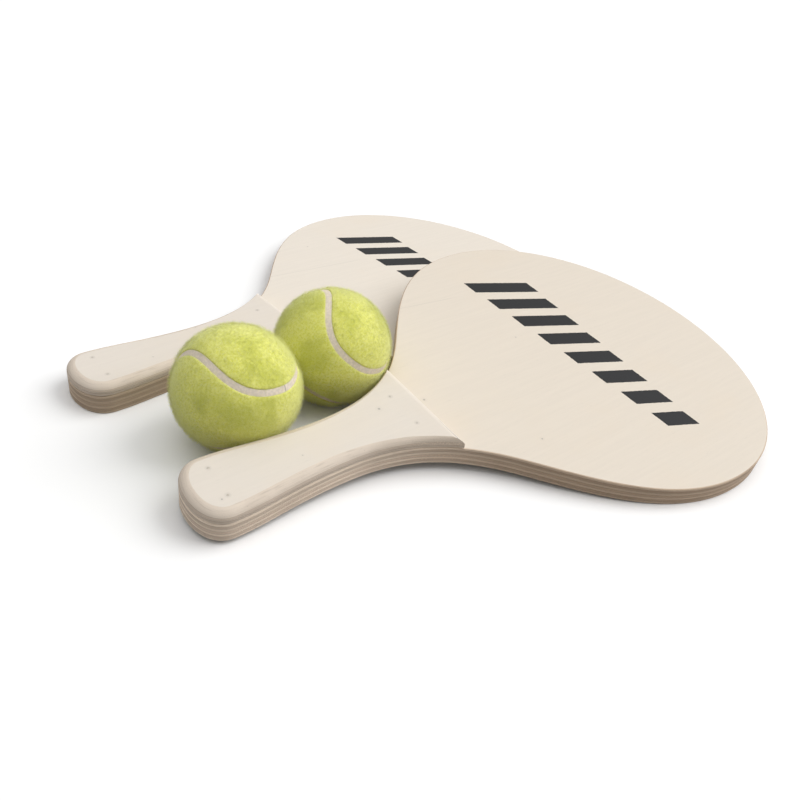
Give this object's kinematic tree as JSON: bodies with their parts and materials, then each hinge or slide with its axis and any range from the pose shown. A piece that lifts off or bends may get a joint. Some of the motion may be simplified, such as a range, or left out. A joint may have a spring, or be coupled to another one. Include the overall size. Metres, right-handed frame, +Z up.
{
  "type": "beach paddle ball set",
  "caption": "Beach bats of flat plywood with one-sided handle grips, lying overlapped, with felt-covered balls standing between the handles.",
  "frame": {"origin": "centre of the set's bounding box in plan, on the floor that it lies on", "axes": "+X from the butt of the rear paddle's handle to its tip, +Y towards the rear paddle, +Z up"},
  "size_m": [0.3782, 0.3892, 0.066],
  "materials": {
    "blade_plywood": "bare sanded plywood, pale face veneer",
    "grip_plywood": "bare sanded plywood, rounded edge",
    "pin_steel": "dull steel wire, sanded flush",
    "ball_felt": "fuzzy yellow-green felt",
    "ball_seam": "matt grey-beige rubber seam",
    "ball_rubber": "matt black rubber"
  },
  "bodies": {
    "root": {"rear_paddle_blade": "blade_plywood", "rear_paddle_grip": "grip_plywood", "rear_paddle_pin_1": "pin_steel", "rear_paddle_pin_2": "pin_steel", "rear_paddle_pin_3": "pin_steel", "rear_paddle_pin_4": "pin_steel", "front_paddle_blade": "blade_plywood", "front_paddle_grip": "grip_plywood", "front_paddle_pin_1": "pin_steel", "front_paddle_pin_2": "pin_steel", "front_paddle_pin_3": "pin_steel", "front_paddle_pin_4": "pin_steel", "front_ball_core": "ball_rubber", "front_ball_felt_upper": "ball_felt", "front_ball_felt_lower": "ball_felt", "front_ball_seam": "ball_seam", "rear_ball_core": "ball_rubber", "rear_ball_felt_upper": "ball_felt", "rear_ball_felt_lower": "ball_felt", "rear_ball_seam": "ball_seam"}
  },
  "joints": []
}
